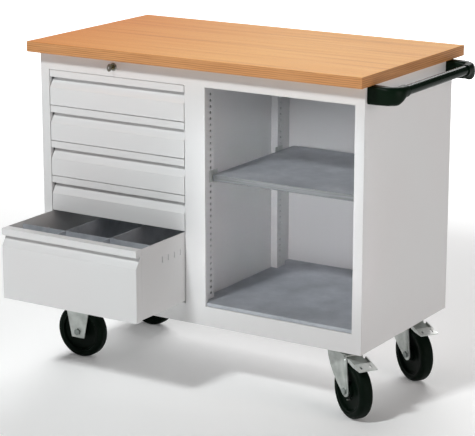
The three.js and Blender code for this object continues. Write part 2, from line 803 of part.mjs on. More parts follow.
// Brake pedal: a channel on a neck, with a raised and slotted tread at its end and a pin in the fork's ears
function makeBrakePedal(name, swivel, pivotX, pivotZ, legSpan) {
  const pedal = new THREE.Group();
  pedal.position.set(pivotX, 0, pivotZ);
  pedal.rotation.y = THREE.MathUtils.degToRad(-pedalTilt);
  swivel.add(pedal);
  const neckHalf = wheelWidth / 2 + legGap - pedalNeckGap;
  const half = pedalWidth / 2;
  const channelStart = earRadius + pedalNeckLength;
  const treadStart = pedalLength - pedalTreadLength;
  const low = -pedalThickness / 2;
  const high = pedalThickness / 2;
  const treadLow = low + pedalTreadRise;
  const treadHigh = high + pedalTreadRise;
  const cheek = outline([
    [channelStart, low],
    [treadStart, low],
    [pedalLength, treadLow],
    [pedalLength, treadHigh],
    [channelStart, treadHigh],
  ]);
  const plate = join(
    block([0, channelStart + pedalThickness], [-neckHalf, neckHalf], [low, high]),
    block([channelStart, treadStart + pedalThickness], [-half, half], [low, high]),
    block([treadStart, treadStart + pedalThickness], [-half, half], [low, treadHigh]),
    block([treadStart, pedalLength], [-half, half], [treadLow, treadHigh]),
    alongY(cheek, [half - pedalThickness, half]),
    alongY(cheek, [-half, pedalThickness - half]),
    barY(pedalPinRadius, [0, 0], [-legSpan - pedalPinReach, legSpan + pedalPinReach], smallRoundSides),
  );
  const slotEnd = pedalLength - pedalSlotFromEnd;
  const slots = [-pedalWidth / 4, pedalWidth / 4].map((middle) => block(
    [slotEnd - pedalSlotLength, slotEnd],
    [middle - pedalSlotWidth / 2, middle + pedalSlotWidth / 2],
    [low, treadHigh + pedalThickness],
  ));
  place(`${name}_brake_pedal`, cut(plate, ...slots), 'plate', pedal);
}

function makeCastors() {
  const rows = [['front', castorSetback], ['rear', cabinetDepth - castorSetback]];
  for (const [row, y] of rows) {
    makeFixedCastor(`fixed_castor_${row}`, fixedCastorInset, y);
    makeSwivelCastor(`swivel_castor_${row}`, cabinetWidth - swivelCastorInset, y);
  }
}

const lockX = lockFromLeft;
const lockZ = openingTop + lockAboveOpening;
const postFaces = { left: bayLeft - postRecess, right: bayRight + postRecess };
const postWalls = { left: partitionRight + seatGap, right: insideRight };
const postFronts = { front: frontPostSetback + seatGap, rear: insideBack - rearPostSetback - postWidth };
const postPlaces = Object.keys(postFronts).flatMap((row) => Object.keys(postFaces).map((side) => ({
  name: `${row}_${side}`,
  face: postFaces[side],
  wall: postWalls[side],
  front: postFronts[row],
  isFront: row === 'front',
})));
const levels = drawerLevels();

makeWorktop();
makeFrontFrame(lockX, lockZ);
makePanels();
makeRunnerRacks(levels);
makeDrawers(levels);
makeLock(lockX, lockZ);
makeBayFloor();
makePosts(postPlaces);
makeShelf(postPlaces);
makeHandle();
makeCastors();

// The origin lies on the floor, under the middle of the bench's box
bench.updateMatrixWorld(true);
const bounds = new THREE.Box3().setFromObject(bench);
const middle = bounds.getCenter(new THREE.Vector3());
bench.position.set(-middle.x, -middle.y, -bounds.min.z);
bench.updateMatrixWorld(true);

export default bench;
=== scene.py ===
import json
import math

import bmesh
import bpy
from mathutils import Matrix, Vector

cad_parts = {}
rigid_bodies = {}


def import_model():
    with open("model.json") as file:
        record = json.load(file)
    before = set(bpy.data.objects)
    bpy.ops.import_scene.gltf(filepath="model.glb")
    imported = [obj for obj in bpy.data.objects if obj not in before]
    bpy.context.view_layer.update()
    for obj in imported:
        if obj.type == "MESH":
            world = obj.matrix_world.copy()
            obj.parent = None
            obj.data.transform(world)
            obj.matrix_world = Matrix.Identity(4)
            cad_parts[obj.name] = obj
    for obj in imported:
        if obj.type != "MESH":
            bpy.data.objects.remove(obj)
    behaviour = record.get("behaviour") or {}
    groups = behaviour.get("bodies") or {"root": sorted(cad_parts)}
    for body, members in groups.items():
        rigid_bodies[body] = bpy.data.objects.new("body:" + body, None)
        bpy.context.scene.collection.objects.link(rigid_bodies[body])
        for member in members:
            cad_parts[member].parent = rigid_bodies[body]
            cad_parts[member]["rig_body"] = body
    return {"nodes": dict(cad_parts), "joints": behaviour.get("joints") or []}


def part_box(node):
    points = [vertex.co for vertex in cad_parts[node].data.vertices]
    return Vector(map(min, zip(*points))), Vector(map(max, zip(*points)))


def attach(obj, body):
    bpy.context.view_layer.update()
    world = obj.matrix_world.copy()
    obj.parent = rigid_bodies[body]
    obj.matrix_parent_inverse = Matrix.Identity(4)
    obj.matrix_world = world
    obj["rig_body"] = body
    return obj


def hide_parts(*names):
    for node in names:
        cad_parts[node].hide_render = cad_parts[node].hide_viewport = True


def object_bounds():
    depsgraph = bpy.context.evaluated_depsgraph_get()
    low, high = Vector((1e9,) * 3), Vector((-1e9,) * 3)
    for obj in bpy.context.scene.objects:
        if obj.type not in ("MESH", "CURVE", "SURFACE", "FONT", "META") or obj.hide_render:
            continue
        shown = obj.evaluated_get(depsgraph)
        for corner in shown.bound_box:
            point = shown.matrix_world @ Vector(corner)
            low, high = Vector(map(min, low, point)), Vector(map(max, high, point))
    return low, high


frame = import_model()
cad_low, cad_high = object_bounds()

# Worktop
# A board of crosswise beech veneers, glued, planed flat and oiled, with its sharp edges taken off.
# It lies on the cabinet and stands out in front and behind; its edges show the veneers as layers.

board_low, board_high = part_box("worktop")
board_edge_round = 0.0016
board_veneers = 11
scale_for_metre_waves = 2.0 * math.pi / 20.0
top_face_lean = 0.6
beech_pale = (0.97, 0.500, 0.140)
beech_warm = (0.90, 0.410, 0.100)
beech_deep = (0.66, 0.260, 0.055)
beech_fleck = (0.45, 0.18, 0.060)
# A darker, redder beech colour for the board's left end.
beech_left_end_dark = (0.78, 0.240, 0.050)
left_end_tone_end = 0.1
left_end_tone_share = 0.7
beech_gloss = 0.08
veneer_end_grain = (0.36, 0.150, 0.052)
veneer_long_grain = (0.72, 0.350, 0.135)


def new_finish(name):
    """A bare material, and its shader for the nodes that colour it."""
    finish = bpy.data.materials.new(name)
    finish.use_nodes = True
    return finish, finish.node_tree.nodes["Principled BSDF"]


def feed(socket, value):
    """Sets an input to a plain value, or joins another node's output to it."""
    if isinstance(value, bpy.types.NodeSocket):
        socket.id_data.links.new(value, socket)
    else:
        socket.default_value = value


def add_node(tree, kind, inputs=None, **settings):
    """One node of a material or of a geometry tree, with its settings and its named inputs."""
    made = tree.nodes.new(kind)
    for name, value in settings.items():
        setattr(made, name, value)
    for name, value in (inputs or {}).items():
        feed(made.inputs[name], value)
    return made


def on_piece(finish, stretch, turn=(0.0, 0.0, 0.0)):
    """The piece's own coordinates; stretch is how many pattern lengths go in a metre of x, y and z."""
    place = add_node(finish.node_tree, "ShaderNodeTexCoord").outputs["Object"]
    inputs = {"Vector": place, "Scale": stretch, "Rotation": turn}
    return add_node(finish.node_tree, "ShaderNodeMapping", inputs).outputs["Vector"]


def mottle(finish, stretch, detail=3.0, roughness=0.5):
    """Cloudy noise on the piece."""
    inputs = {"Vector": on_piece(finish, stretch), "Scale": 1.0, "Detail": detail, "Roughness": roughness}
    return add_node(finish.node_tree, "ShaderNodeTexNoise", inputs).outputs["Fac"]


def shades(finish, factor, stops):
    """A colour that runs through the stops, each a place from 0 to 1 and a colour."""
    ramp = add_node(finish.node_tree, "ShaderNodeValToRGB", {"Fac": factor})
    elements = ramp.color_ramp.elements
    elements.remove(elements[1])
    elements[0].position = stops[0][0]
    elements[0].color = (*stops[0][1], 1.0)
    for place, colour in stops[1:]:
        elements.new(place).color = (*colour, 1.0)
    return ramp.outputs["Color"]


def spread(finish, factor, low, high, start=0.3, end=0.7):
    """A number that goes from low to high while factor goes from start to end."""
    inputs = {"Value": factor, "From Min": start, "From Max": end, "To Min": low, "To Max": high}
    return add_node(finish.node_tree, "ShaderNodeMapRange", inputs).outputs["Result"]


def mixed(finish, factor, first, second, kind="MIX"):
    """Two colours mixed by factor."""
    mix = add_node(finish.node_tree, "ShaderNodeMix", data_type="RGBA", blend_type=kind)
    feed(mix.inputs[0], factor)
    feed(mix.inputs[6], first)
    feed(mix.inputs[7], second)
    return mix.outputs[2]


def relief(finish, shader, height, depth):
    """Raises the surface by up to depth metres where height is 1."""
    bump = add_node(finish.node_tree, "ShaderNodeBump", {"Height": height, "Distance": depth})
    feed(shader.inputs["Normal"], bump.outputs["Normal"])


def beech_face_finish():
    """Long pale and warm streaks along the board, fine fibres, and the short dark flecks of beech."""
    finish, shader = new_finish("oiled_beech_face")
    streaks = mottle(finish, (1.6, 42.0, 5.0), detail=5.0, roughness=0.65)
    fibres = mottle(finish, (5.0, 420.0, 300.0), detail=4.0, roughness=0.6)
    flecks = mottle(finish, (95.0, 900.0, 900.0), detail=1.0)
    place = on_piece(finish, (1.0, 1.0, 1.0))
    along = add_node(finish.node_tree, "ShaderNodeSeparateXYZ", {"Vector": place}).outputs["X"]
    colour = shades(finish, streaks, [(0.28, beech_deep), (0.42, beech_warm), (0.60, beech_pale)])
    colour = mixed(finish, spread(finish, fibres, 0.0, 0.40), colour, (*beech_warm, 1.0))
    # Darker and redder towards the board's left end.
    left_end_tone = spread(finish, along, left_end_tone_share, 0.0, board_low.x, left_end_tone_end)
    colour = mixed(finish, left_end_tone, colour, (*beech_left_end_dark, 1.0))
    fleck_share = spread(finish, flecks, 0.0, 0.55, start=0.64, end=0.74)
    colour = mixed(finish, fleck_share, colour, (*beech_fleck, 1.0))
    feed(shader.inputs["Base Color"], colour)
    feed(shader.inputs["Roughness"], spread(finish, fibres, 0.42, 0.58))
    shader.inputs["Specular IOR Level"].default_value = beech_gloss
    relief(finish, shader, fibres, depth=0.00006)
    return finish


def beech_edge_finish():
    """Veneers seen from their edges: pale along their fibres, brown where the fibres end in the edge."""
    finish, shader = new_finish("oiled_beech_edge")
    veneer = (board_high.z - board_low.z) / board_veneers
    inputs = {
        "Vector": on_piece(finish, (1.0, 1.0, 1.0)),
        "Scale": scale_for_metre_waves / (2.0 * veneer),
        "Distortion": 3.2,
        "Detail": 2.0,
        "Detail Scale": 0.25,
    }
    layers = add_node(finish.node_tree, "ShaderNodeTexWave", inputs, bands_direction="Z").outputs["Fac"]
    fibres = mottle(finish, (9.0, 9.0, 900.0), detail=4.0, roughness=0.6)
    blotches = mottle(finish, (9.0, 9.0, 130.0), detail=3.0)
    colour = shades(finish, layers, [(0.05, veneer_end_grain), (0.4, beech_deep), (0.85, veneer_long_grain)])
    colour = mixed(finish, spread(finish, blotches, 0.0, 0.85), colour, (*veneer_long_grain, 1.0))
    colour = mixed(finish, spread(finish, fibres, 0.0, 0.6), colour, (*veneer_end_grain, 1.0))
    feed(shader.inputs["Base Color"], colour)
    feed(shader.inputs["Roughness"], spread(finish, fibres, 0.5, 0.68))
    relief(finish, shader, fibres, depth=0.00009)
    return finish


def add_piece(name, shape, finishes):
    """Turns a bmesh into an object at the origin, with its materials."""
    mesh = bpy.data.meshes.new(name)
    shape.to_mesh(mesh)
    shape.free()
    for finish in finishes:
        mesh.materials.append(finish)
    piece = bpy.data.objects.new(name, mesh)
    bpy.context.scene.collection.objects.link(piece)
    return piece


def stand_for(piece, node):
    """The piece takes the solid's place and body."""
    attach(piece, frame["nodes"][node]["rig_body"])
    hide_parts(node)


board = bmesh.new()
bmesh.ops.create_cube(board, size=1.0)
for corner in board.verts:
    corner.co = [low if side < 0 else high for side, low, high in zip(corner.co, board_low, board_high)]
bmesh.ops.bevel(
    board, geom=board.edges[:], offset=board_edge_round, segments=4, profile=0.5, affect="EDGES"
)
for face in board.faces:
    face.normal_update()
    face.material_index = 0 if abs(face.normal.z) > top_face_lean else 1
worktop = add_piece("beech_worktop", board, [beech_face_finish(), beech_edge_finish()])
stand_for(worktop, "worktop")

# Cabinet sheets
# Folded and welded steel sheet with a light grey powder coat: the front frame with its two openings, the
# sides, the back, the base, the sheet under the worktop and the partition beside the drawers.

coat_grey = (0.735, 0.738, 0.740)
coat_grey_warm = (0.730, 0.716, 0.718)
fold_round = 0.0016
cut_round = 0.0004
panel_round = 0.0005
sheet_reach = 0.0022
flat_angle = math.radians(1.0)
fold_angle = math.radians(40.0)
least_ruling = 0.02
along_ruling = 0.9999
merge_distance = 1e-5
ruling_distance = 2e-5
square_axes = (Vector((1.0, 0.0, 0.0)), Vector((0.0, 1.0, 0.0)), Vector((0.0, 0.0, 1.0)))


def powder_coat_finish():
    """A satin coat with a faint orange peel and slow drifts of tone."""
    finish, shader = new_finish("grey_powder_coat")
    drift = mottle(finish, (2.2, 2.2, 2.2), detail=2.0)
    peel = mottle(finish, (620.0, 620.0, 620.0), detail=1.5)
    colour = shades(finish, drift, [(0.35, coat_grey), (0.65, coat_grey_warm)])
    feed(shader.inputs["Base Color"], colour)
    feed(shader.inputs["Roughness"], spread(finish, peel, 0.40, 0.50))
    relief(finish, shader, peel, depth=0.00002)
    return finish


def width_of(face):
    """How wide a long face is, also one that runs round a corner."""
    return 2.0 * face.calc_area() / sum(edge.calc_length() for edge in face.edges)


def fold_edges(shape, narrow):
    """Sharp outer edges: those of a sheet's narrow cut edge, or the others, where it is folded."""
    found = []
    for edge in shape.edges:
        if len(edge.link_faces) != 2 or not edge.is_convex:
            continue
        if edge.calc_face_angle() < fold_angle:
            continue
        is_narrow = min(width_of(face) for face in edge.link_faces) < sheet_reach
        if is_narrow == narrow:
            found.append(edge)
    return found


def rule_squarely(shape, axes, least_corners):
    """Divides flat faces by lines square to the axes, so that no face runs round a hole or a corner."""
    for axis in axes:
        places = [round(corner.co.dot(axis), 5) for corner in shape.verts]
        for place in sorted(place for place in set(places) if places.count(place) >= least_corners):
            everything = shape.verts[:] + shape.edges[:] + shape.faces[:]
            plane = {"dist": ruling_distance, "plane_co": axis * place, "plane_no": axis}
            bmesh.ops.bisect_plane(shape, geom=everything, **plane)
    shape.normal_update()
    slanting = []
    for edge in shape.edges:
        if len(edge.link_faces) == 2 and edge.calc_face_angle() < flat_angle:
            along = (edge.verts[1].co - edge.verts[0].co).normalized()
            rulings = [edge.link_faces[0].normal.cross(axis) for axis in axes]
            rulings = [ruling.normalized() for ruling in rulings if ruling.length > least_ruling]
            if all(abs(ruling.dot(along)) < along_ruling for ruling in rulings):
                slanting.append(edge)
    bmesh.ops.dissolve_edges(shape, edges=slanting, use_verts=False)


def folded_sheet(node, fold=fold_round, cut=cut_round, axes=square_axes, least_corners=3):
    """A copy of a sheet's solid with its folds rounded and the burr taken off its cut edges."""
    shape = bmesh.new()
    shape.from_mesh(frame["nodes"][node].data)
    bmesh.ops.remove_doubles(shape, verts=shape.verts[:], dist=merge_distance)
    if axes:
        rule_squarely(shape, axes, least_corners)
    else:
        bmesh.ops.dissolve_limit(shape, angle_limit=flat_angle, verts=shape.verts[:], edges=shape.edges[:])
    for is_cut, offset, segments in ((False, fold, 4), (True, cut, 2)):
        if offset > 0.0:
            edges = fold_edges(shape, is_cut)
            bmesh.ops.bevel(shape, geom=edges, offset=offset, segments=segments, profile=0.5, affect="EDGES")
    return shape


def dress(node, slot, finish, name, **rounds):
    """Puts a rounded copy of a sheet's solid in its place."""
    piece = add_piece(name, folded_sheet(node, **rounds), [finish])
    stand_for(piece, node)
    return piece


powder_coat = powder_coat_finish()
cabinet_panels = [
    "left_side_panel",
    "right_side_panel",
    "back_panel",
    "base_panel",
    "top_panel",
    "partition_panel",
]
dress("front_frame", "paint", powder_coat, "front_frame_sheet", least_corners=5)
for node in cabinet_panels:
    dress(node, "paint", powder_coat, f"{node}_sheet", fold=panel_round)

# Runner racks
# Zinc-coated steel carriers screwed to the cabinet's wall and to the partition. Each has a ledge and a rail
# for every drawer, which the tray's floor slides on.

zinc_pale = (0.56, 0.585, 0.625)
zinc_mid = (0.45, 0.475, 0.515)
zinc_dark = (0.35, 0.375, 0.41)
spangle_per_metre = 95.0


def galvanised_finish():
    """Hot-dip zinc: crystals of a few millimetres in different greys under slow cloudy stains."""
    finish, shader = new_finish("galvanised_sheet")
    place = on_piece(finish, (spangle_per_metre,) * 3)
    inputs = {"Vector": place, "Scale": 1.0, "Randomness": 1.0}
    crystals = add_node(finish.node_tree, "ShaderNodeTexVoronoi", inputs).outputs["Color"]
    tone = add_node(finish.node_tree, "ShaderNodeSeparateColor", {"Color": crystals}).outputs["Red"]
    clouds = mottle(finish, (9.0, 9.0, 9.0), detail=4.0, roughness=0.6)
    colour = shades(finish, clouds, [(0.32, zinc_dark), (0.5, zinc_mid), (0.68, zinc_pale)])
    crystal_share = spread(finish, tone, 0.0, 0.35, start=0.0, end=1.0)
    colour = mixed(finish, crystal_share, colour, (*zinc_pale, 1.0))
    feed(shader.inputs["Base Color"], colour)
    shader.inputs["Metallic"].default_value = 0.35
    feed(shader.inputs["Roughness"], spread(finish, tone, 0.34, 0.52, start=0.0, end=1.0))
    relief(finish, shader, clouds, depth=0.00005)
    return finish


galvanised = galvanised_finish()
as_pressed = {"fold": 0.0, "cut": 0.0, "axes": None}
for side in ("left", "right"):
    dress(f"{side}_runner_rack", "zinc", galvanised, f"{side}_rack_with_rails", **as_pressed)

# Drawers
# Each is a folded front with a grip groove along its whole width, and a sheet tray welded behind it. The
# tray's sides have a row of upright slots that hold dividers. All of it has the cabinet's powder coat.

drawer_count = 5
slot_count = 4
slot_width = 0.0032
slot_height = 0.018
slot_step = 0.0294
first_slot_behind_front = 0.0985
slot_below_tray_top = 0.053
drill_sides = 12
punch_past_sides = 1.2
front_fold_round = 0.0022
tray_fold_round = 0.0010


def new_geometry_tree(name, sockets):
    """A geometry tree with named inputs; gives the tree and what its inputs hand on."""
    tree = bpy.data.node_groups.new(name, "GeometryNodeTree")
    tree.interface.new_socket("Geometry", in_out="OUTPUT", socket_type="NodeSocketGeometry")
    for socket, kind in sockets.items():
        tree.interface.new_socket(socket, in_out="INPUT", socket_type=f"NodeSocket{kind}")
    return tree, tree.nodes.new("NodeGroupInput").outputs


def reckon(tree, operation, first, second):
    """One sum of two numbers in a geometry tree."""
    return add_node(tree, "ShaderNodeMath", {0: first, 1: second}, operation=operation).outputs[0]


def upright(tree, height):
    """A vector that goes straight up."""
    return add_node(tree, "ShaderNodeCombineXYZ", {"Z": height}).outputs[0]


def set_on(tree, points, shape):
    """Copies of a shape on points, as real geometry."""
    copies = add_node(tree, "GeometryNodeInstanceOnPoints", {"Points": points, "Instance": shape}).outputs[0]
    return add_node(tree, "GeometryNodeRealizeInstances", {"Geometry": copies}).outputs[0]


def hand_out(tree, geometry, finish):
    """Ends a tree with real geometry that has its material."""
    whole = add_node(tree, "GeometryNodeRealizeInstances", {"Geometry": geometry}).outputs[0]
    coated = add_node(tree, "GeometryNodeSetMaterial", {"Geometry": whole, "Material": finish}).outputs[0]
    feed(tree.nodes.new("NodeGroupOutput").inputs[0], coated)


def punched_row_tree():
    """Punches a row of round or long holes along x through a sheet, each a step on from the last."""
    sockets = {
        "Sheet": "Geometry",
        "Hole Width": "Float",
        "Hole Length": "Float",
        "Punch Reach": "Float",
        "First Hole": "Vector",
        "Step": "Vector",
        "Count": "Int",
        "Finish": "Material",
    }
    tree, given = new_geometry_tree("punched_row", sockets)
    radius = reckon(tree, "MULTIPLY", given["Hole Width"], 0.5)
    straight = reckon(tree, "SUBTRACT", given["Hole Length"], given["Hole Width"])
    bottom = upright(tree, reckon(tree, "MULTIPLY", straight, -0.5))
    inputs = {"Count": 2, "Start Location": bottom, "Offset": upright(tree, straight)}
    ends = add_node(tree, "GeometryNodeMeshLine", inputs).outputs[0]
    inputs = {"Vertices": drill_sides, "Radius": radius, "Depth": given["Punch Reach"]}
    drill = add_node(tree, "GeometryNodeMeshCylinder", inputs).outputs["Mesh"]
    inputs = {"Geometry": drill, "Rotation": (0.0, math.pi / 2.0, 0.0)}
    along_x = add_node(tree, "GeometryNodeTransform", inputs).outputs[0]
    both_ends = set_on(tree, ends, along_x)
    punch = add_node(tree, "GeometryNodeConvexHull", {"Geometry": both_ends}).outputs[0]
    inputs = {"Count": given["Count"], "Start Location": given["First Hole"], "Offset": given["Step"]}
    row = add_node(tree, "GeometryNodeMeshLine", inputs).outputs[0]
    inputs = {"Mesh 1": given["Sheet"], "Mesh 2": set_on(tree, row, punch)}
    cut = add_node(tree, "GeometryNodeMeshBoolean", inputs, operation="DIFFERENCE").outputs["Mesh"]
    hand_out(tree, cut, given["Finish"])
    return tree


def run_tree(piece, tree, values):
    """Runs a geometry tree on a piece and keeps the result as its plain mesh."""
    modifier = piece.modifiers.new(tree.name, "NODES")
    modifier.node_group = tree
    for socket in tree.interface.items_tree:
        if socket.in_out == "INPUT" and socket.name in values:
            modifier[socket.identifier] = values[socket.name]
    piece.update_tag()
    seen = piece.evaluated_get(bpy.context.evaluated_depsgraph_get())
    made = bpy.data.meshes.new_from_object(seen)
    piece.modifiers.remove(modifier)
    piece.data = made


punched_row = punched_row_tree()
for number in range(1, drawer_count + 1):
    name = f"drawer_{number}"
    dress(f"{name}_front", "paint", powder_coat, f"{name}_grip_front", fold=front_fold_round)
    tray_low, tray_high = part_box(f"{name}_tray")
    tray_shape = folded_sheet(f"{name}_tray", fold=tray_fold_round)
    tray = add_piece(f"{name}_slotted_tray", tray_shape, [powder_coat])
    slots = {
        "Hole Width": slot_width,
        "Hole Length": slot_height,
        "Punch Reach": punch_past_sides * (tray_high.x - tray_low.x),
        "First Hole": (
            (tray_low.x + tray_high.x) / 2.0,
            tray_low.y + first_slot_behind_front,
            tray_high.z - slot_below_tray_top,
        ),
        "Step": (0.0, slot_step, 0.0),
        "Count": slot_count,
        "Finish": powder_coat,
    }
    run_tree(tray, punched_row, slots)
    stand_for(tray, f"{name}_tray")

# Drawer dividers
# Galvanised sheets that stand in the bottom drawer: one from side to side, and two that cross it in half
# slots. They are cut and not fastened, so that they can be moved.

for part in ("cross", "left", "right"):
    dress(f"drawer_5_{part}_divider", "zinc", galvanised, f"drawer_5_{part}_partition")

# Lock
# A turned barrel with a flanged collar in the top rail, a brass plug that the key turns, and the key in it.
# The barrel and the key are nickel plated, and dulled by use.

housing_low, housing_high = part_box("lock_housing")
nickel_dull = (0.20, 0.195, 0.165)
nickel_bright = (0.36, 0.35, 0.31)
brass_dark = (0.16, 0.135, 0.06)
brass_bright = (0.34, 0.29, 0.13)
turned_edge = math.radians(28.0)
key_round = 0.0003


def joint_named(name):
    """A joint's place and axis."""
    joint = next(joint for joint in frame["joints"] if joint["name"] == name)
    return Vector(joint["pos_m"]), Vector(joint["axis"]).normalized()


def join_rings(shape, rings):
    """Faces from each ring of corners to the next one."""
    for ring, following in zip(rings, rings[1:]):
        for step in range(len(ring)):
            beyond = (step + 1) % len(ring)
            corners = [ring[step], ring[beyond], following[beyond], following[step]]
            shape.faces.new(list(dict.fromkeys(corners)))


def turned(name, profile, centre, axis, finish, sides=64):
    """A piece turned about an axis; its profile of radius and place goes from pole to pole or is closed."""
    shape = bmesh.new()
    along = Vector(axis).normalized()
    across = along.orthogonal().normalized()
    beside = along.cross(across)
    turns = [2.0 * math.pi * step / sides for step in range(sides)]
    rings = []
    for radius, distance in profile:
        middle = Vector(centre) + along * distance
        if radius == 0.0:
            rings.append([shape.verts.new(middle)] * sides)
        else:
            spokes = [across * math.cos(turn) + beside * math.sin(turn) for turn in turns]
            rings.append([shape.verts.new(middle + spoke * radius) for spoke in spokes])
    is_closed = profile[0][0] > 0.0
    join_rings(shape, rings + rings[:1] if is_closed else rings)
    bmesh.ops.recalc_face_normals(shape, faces=shape.faces[:])
    for face in shape.faces:
        face.smooth = True
    piece = add_piece(name, shape, [finish])
    piece.data.set_sharp_from_angle(angle=turned_edge)
    return piece


def worn_metal_finish(name, dull, bright, roughness, per_metre=220.0):
    """Plated metal, blotched where it was handled and rubbed bright in places."""
    finish, shader = new_finish(name)
    blotches = mottle(finish, (per_metre,) * 3, detail=4.0, roughness=0.6)
    scratches = mottle(finish, (per_metre * 6.0, per_metre, per_metre * 6.0), detail=2.0)
    feed(shader.inputs["Base Color"], shades(finish, blotches, [(0.35, dull), (0.65, bright)]))
    shader.inputs["Metallic"].default_value = 1.0
    feed(shader.inputs["Roughness"], spread(finish, blotches, roughness + 0.12, roughness - 0.05))
    relief(finish, shader, scratches, depth=0.00001)
    return finish


lock_centre, lock_axis = joint_named("lock_turn")
collar_radius = (housing_high.x - housing_low.x) / 2.0
collar_front = housing_low.y - lock_centre.y
barrel_back = housing_high.y - lock_centre.y
barrel_radius = 0.009
rail_gap = 0.0003
plug_bore = 0.0063
collar_profile = [
    (plug_bore, collar_front + 0.0008),
    (plug_bore + 0.0008, collar_front),
    (collar_radius - 0.0016, collar_front),
    (collar_radius - 0.0004, collar_front + 0.0006),
    (collar_radius, collar_front + 0.0018),
    (collar_radius, -rail_gap),
    (barrel_radius, -rail_gap),
    (barrel_radius, barrel_back),
    (plug_bore, barrel_back),
]
dull_nickel = worn_metal_finish("dull_nickel", nickel_dull, nickel_bright, roughness=0.36)
collar = turned("lock_collar", collar_profile, lock_centre, lock_axis, dull_nickel)
stand_for(collar, "lock_housing")
dark_brass = worn_metal_finish("dark_brass", brass_dark, brass_bright, roughness=0.38)
dress("lock_plug", "brass", dark_brass, "lock_cylinder_plug", axes=None)
dress("lock_key", "plate", dull_nickel, "lock_door_key", fold=key_round, cut=key_round, axes=None)

# Bay posts
# Channels of coated sheet welded to the bay's two walls, two on each. A row of round holes is punched down
# each one's face for the shelf's clips.

post_hole = 0.0084
post_hole_step = 0.0172
post_hole_margin = 0.016
post_hole_from_inner_edge = 0.016
post_punch_reach = 0.012
post_fold_round = 0.0012

for side in ("left", "right"):
    for row in ("front", "rear"):
        node = f"bay_post_{row}_{side}"
        low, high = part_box(node)
        face_x = high.x if side == "left" else low.x
        inner_edge, outward = (high.y, -1.0) if row == "front" else (low.y, 1.0)
        hole_y = inner_edge + outward * post_hole_from_inner_edge
        holes = {
            "Hole Width": post_hole,
            "Hole Length": post_hole,
            "Punch Reach": post_punch_reach,
            "First Hole": (face_x, hole_y, low.z + post_hole_margin),
            "Step": (0.0, 0.0, post_hole_step),
            "Count": int((high.z - low.z - 2.0 * post_hole_margin) / post_hole_step) + 1,
            "Finish": powder_coat,
        }
        post = add_piece(f"{node}_perforated", folded_sheet(node, fold=post_fold_round), [powder_coat])
        run_tree(post, punched_row, holes)
        stand_for(post, node)

# Bay floor and shelf
# Galvanised sheets with folded rims. The floor stands on the base, the shelf on four clips hooked into the
# posts, so that it can be moved up and down.

# The shelf's front rim is painted in darker zinc: a painted dark reflection.
rim_reflection_dark = (0.19, 0.20, 0.205)
rim_reflection_mid = (0.30, 0.315, 0.325)
shelf_fold_round = 0.0014
reflection_rim_lean = -0.95


def painted_reflection_rim_finish():
    """Zinc painted darker for the shelf's front rim, a painted dark reflection, with fine marks along the
    rim.
    """
    finish, shader = new_finish("zinc_rim_painted_reflection")
    marks = mottle(finish, (6.0, 6.0, 500.0), detail=3.0)
    colour = shades(finish, marks, [(0.35, rim_reflection_dark), (0.65, rim_reflection_mid)])
    feed(shader.inputs["Base Color"], colour)
    shader.inputs["Metallic"].default_value = 0.35
    feed(shader.inputs["Roughness"], spread(finish, marks, 0.36, 0.48))
    relief(finish, shader, marks, depth=0.00003)
    return finish


dress("bay_floor", "zinc", galvanised, "bay_floor_sheet")
shelf = dress("shelf", "zinc", galvanised, "bay_shelf_sheet", fold=shelf_fold_round)
# The front-facing faces of the shelf's rim take the darker zinc, a painted dark reflection.
shelf.data.materials.append(painted_reflection_rim_finish())
for face in shelf.data.polygons:
    if face.normal.y < reflection_rim_lean:
        face.material_index = 1

# Castor steel and shelf clips
# Pressed steel with a bright zinc plating, as the castors have it. The shelf's clips are bent strips of it
# that are hooked into the posts' holes.

plating_grey = (0.37, 0.395, 0.375)
plating_bright = (0.60, 0.63, 0.605)


def plating_finish(name, grey, bright):
    """Zinc plating with faint cloudy passivation and the draw marks of the press."""
    finish, shader = new_finish(name)
    clouds = mottle(finish, (28.0, 28.0, 28.0), detail=4.0, roughness=0.55)
    marks = mottle(finish, (60.0, 60.0, 700.0), detail=2.0)
    feed(shader.inputs["Base Color"], shades(finish, clouds, [(0.3, grey), (0.68, bright)]))
    shader.inputs["Metallic"].default_value = 0.5
    feed(shader.inputs["Roughness"], spread(finish, clouds, 0.44, 0.30))
    relief(finish, shader, marks, depth=0.00002)
    return finish


zinc_plating = plating_finish("bright_zinc_plating", plating_grey, plating_bright)
for side in ("left", "right"):
    for row in ("front", "rear"):
        dress(f"shelf_clip_{row}_{side}", "plate", zinc_plating, f"shelf_clip_{row}_{side}_strip")

# Push handle
# Two moulded brackets, screwed to the cabinet's side, whose arms bend round into sockets, and a coated steel
# tube held between them. All of it is a green that is nearly black.

handle_green = (0.0026, 0.0092, 0.0040)
handle_green_worn = (0.0044, 0.0124, 0.0064)
arm_bend = 0.028
arm_sides = 48
straight_steps = 8
bend_steps = 12
socket_steps = 4
taper_after_straight = 0.026
taper_length = 0.030
rounding_start = 0.022
rounding_length = 0.040
block_squareness = 7.0
socket_squareness = 2.4
socket_play = 0.0003
socket_depth = 0.012
moulded_edge = math.radians(50.0)
tube_low, tube_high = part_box("handle_tube")
tube_radius = (tube_high.x - tube_low.x) / 2.0
tube_axis_x = (tube_low.x + tube_high.x) / 2.0
tube_axis_z = (tube_low.z + tube_high.z) / 2.0


def dark_green_finish(name, rough_low, rough_high, grain_depth, gloss):
    """Dark green plastic or paint with a fine moulded grain and hardly visible rubbed places."""
    finish, shader = new_finish(name)
    rubbed = mottle(finish, (24.0, 24.0, 24.0), detail=3.0)
    grain = mottle(finish, (1400.0, 1400.0, 1400.0), detail=1.0)
    colour = shades(finish, rubbed, [(0.4, handle_green), (0.7, handle_green_worn)])
    feed(shader.inputs["Base Color"], colour)
    feed(shader.inputs["Roughness"], spread(finish, rubbed, rough_low, rough_high))
    shader.inputs["Specular IOR Level"].default_value = gloss
    relief(finish, shader, grain, grain_depth)
    return finish


